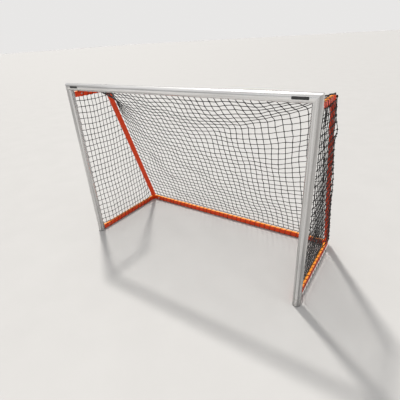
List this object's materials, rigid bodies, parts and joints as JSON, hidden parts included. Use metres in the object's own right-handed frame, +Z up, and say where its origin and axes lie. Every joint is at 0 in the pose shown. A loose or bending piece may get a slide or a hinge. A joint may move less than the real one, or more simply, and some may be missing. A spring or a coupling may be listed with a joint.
{
  "type": "hockey goal net",
  "caption": "Street hockey goal: round bare-metal posts and crossbar with mitred corners, a painted flat-tube rear frame, and a black knotted net laced over it.",
  "frame": {"origin": "on the ground, under the middle of the goal's bounding box", "axes": "+Z up; the mouth faces -Y, so a shot goes in along +Y; +X to the right seen from in front"},
  "size_m": [1.83, 0.7646, 1.254],
  "materials": {
    "polished_aluminium": "polished bare tube",
    "bare_rod": "drawn bare rod",
    "orange_paint": "semi-gloss powder coat",
    "zinc_plate": "bright zinc plate",
    "stainless": "stainless fasteners",
    "black_plastic": "moulded, fine texture",
    "insert_plastic": "glass-filled nylon",
    "net_twine": "knotted braided twine",
    "black_rope": "braided cord"
  },
  "bodies": {
    "root": {"back_bar_bolts": "stainless", "back_bar_washers": "stainless", "back_base_bar": "orange_paint", "back_lacing": "black_rope", "back_spigot_left": "orange_paint", "back_spigot_right": "orange_paint", "bar_screws": "stainless", "base_bar_left": "orange_paint", "base_bar_right": "orange_paint", "base_lacing_left": "black_rope", "base_lacing_right": "black_rope", "brace_lacing_left": "black_rope", "brace_lacing_right": "black_rope", "bracket_screws": "stainless", "corner_insert_left": "insert_plastic", "corner_insert_right": "insert_plastic", "corner_screws": "stainless", "crossbar": "polished_aluminium", "crossbar_clips": "black_plastic", "ear_screws": "stainless", "foot_bracket_left": "zinc_plate", "foot_bracket_right": "zinc_plate", "foot_insert_left": "black_plastic", "foot_insert_right": "black_plastic", "mouth_rope": "black_rope", "net_back": "net_twine", "net_left": "net_twine", "net_right": "net_twine", "net_rod_left": "bare_rod", "net_rod_right": "bare_rod", "net_top": "net_twine", "post_clips_left": "black_plastic", "post_clips_right": "black_plastic", "post_left": "polished_aluminium", "post_right": "polished_aluminium", "rear_upright_left": "orange_paint", "rear_upright_right": "orange_paint", "seam_rope_left": "black_rope", "seam_rope_right": "black_rope", "top_brace_left": "orange_paint", "top_brace_right": "orange_paint", "top_bracket_left": "zinc_plate", "top_bracket_right": "zinc_plate", "upright_foot_plug_left": "black_plastic", "upright_foot_plug_right": "black_plastic", "upright_top_plug_left": "black_plastic", "upright_top_plug_right": "black_plastic"}
  },
  "joints": []
}
